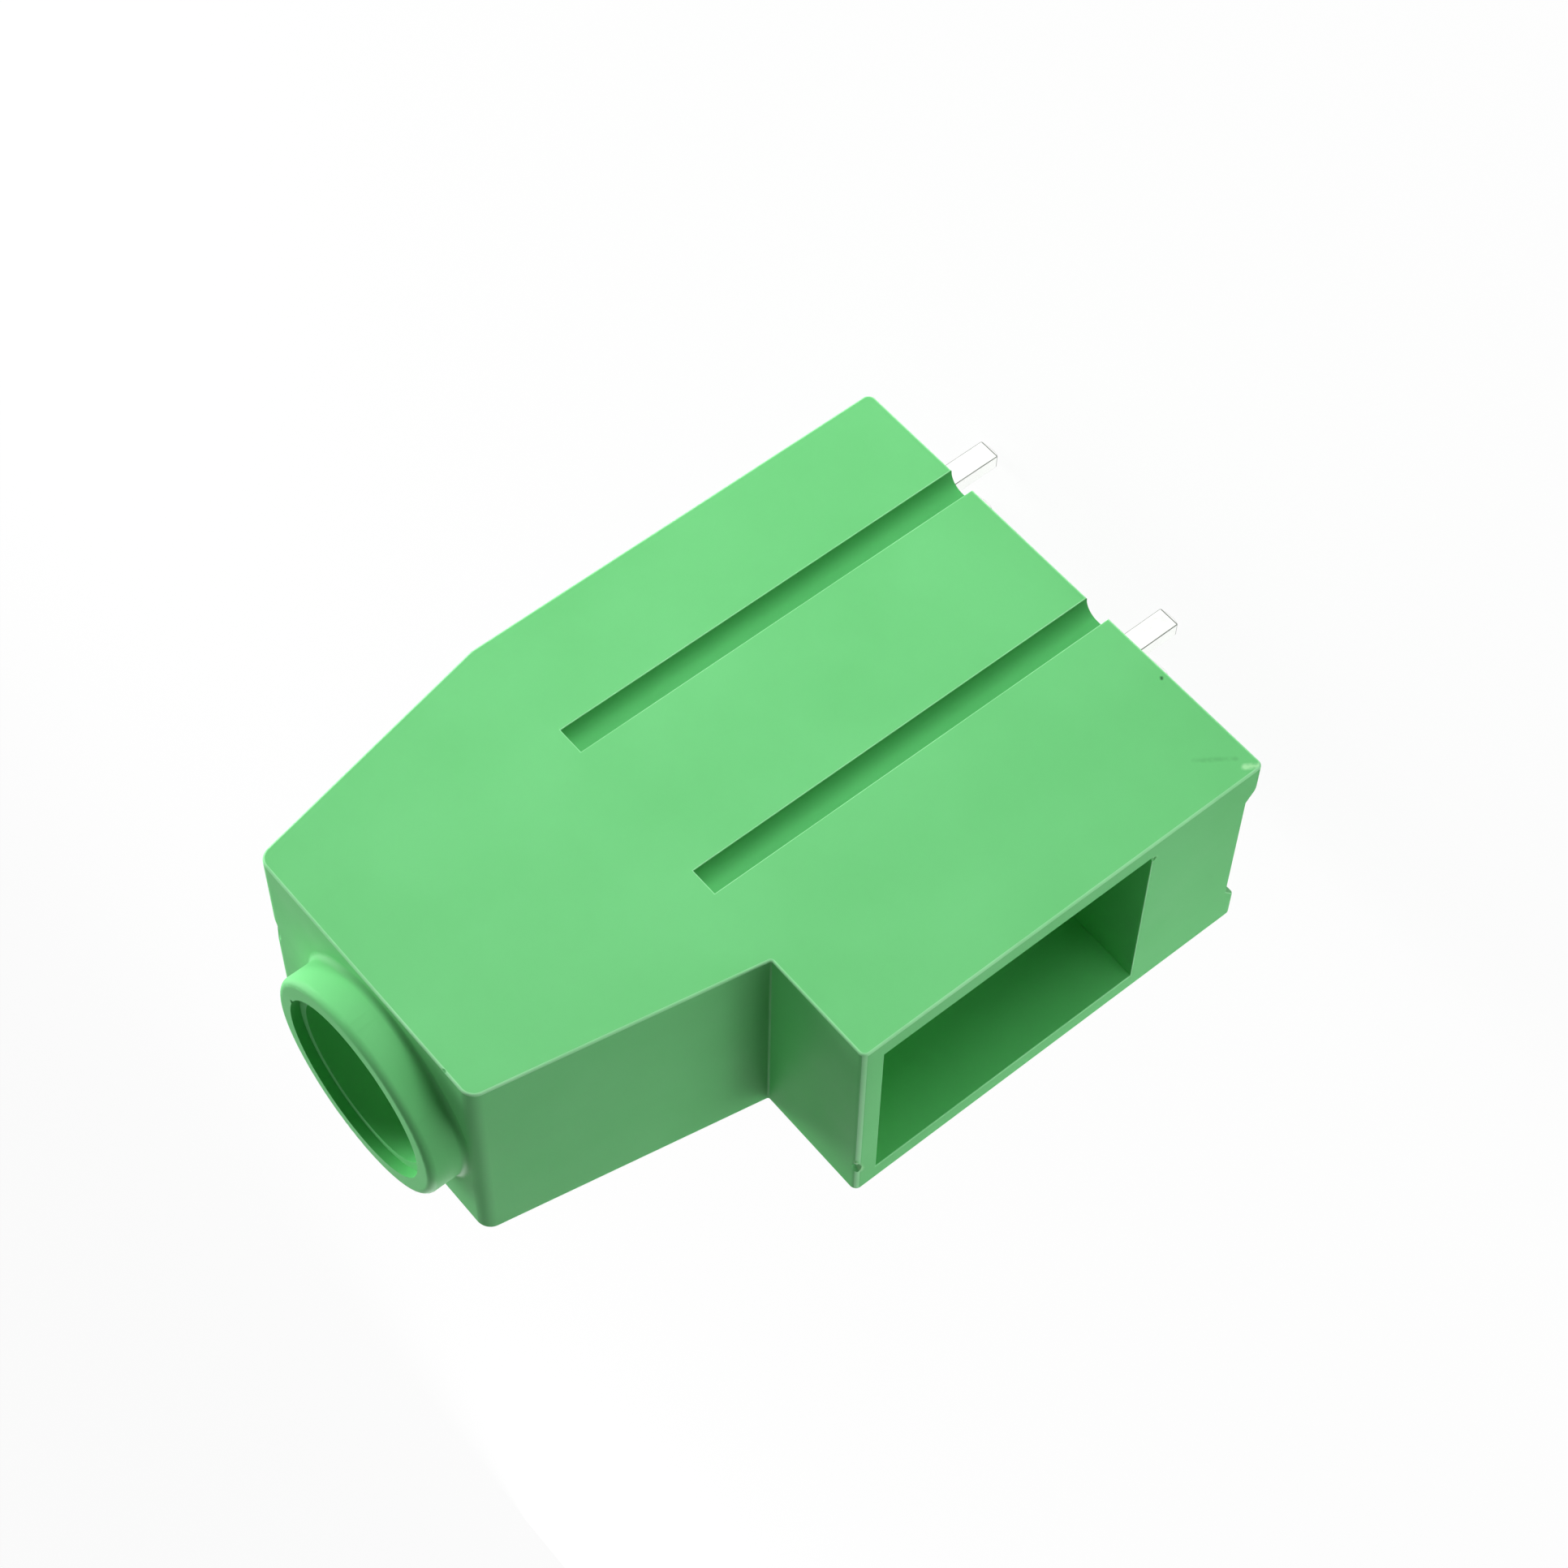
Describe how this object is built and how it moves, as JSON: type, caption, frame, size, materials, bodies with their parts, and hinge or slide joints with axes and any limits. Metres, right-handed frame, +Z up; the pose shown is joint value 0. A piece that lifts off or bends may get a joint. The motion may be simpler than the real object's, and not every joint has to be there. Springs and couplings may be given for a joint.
{
  "type": "pcb screw terminal",
  "caption": "High-current screw terminal for a printed circuit board: moulded block with side wire entry, collared screw shaft, lift sleeve clamp and solder pins.",
  "frame": {"origin": "middle of the four solder pins, at the surface of the board that the block sits on", "axes": "+X towards the wire entry, +Z up away from the board along the screw, +Y towards the grooved side face"},
  "size_m": [0.0318, 0.015, 0.0517],
  "materials": {
    "green_plastic": "satin moulded polyamide",
    "green_cover": "satin moulded polyamide",
    "tinned_copper": "tin plated copper alloy",
    "plated_sleeve": "nickel plated folded steel",
    "plated_screw": "zinc plated steel"
  },
  "bodies": {
    "block": {"housing": "green_plastic", "base_cover": "green_cover", "current_bar": "tinned_copper"},
    "screw": {"clamp_screw": "plated_screw"},
    "sleeve": {"clamp_sleeve": "plated_sleeve"}
  },
  "joints": [
    {"name": "sleeve_lift", "type": "slide", "parent": "block", "child": "sleeve", "axis": [0, 0, 1], "range_m": [0, 0.00975]},
    {"name": "screw_turn", "type": "hinge", "parent": "block", "child": "screw", "pos_m": [0.0015, 0, 0.03], "axis": [0, 0, -1], "range_deg": [0, 3510]}
  ],
  "couplings": [
    {"joint": "screw_turn", "follows": "sleeve_lift", "rad_per_m": 6283.2}
  ]
}
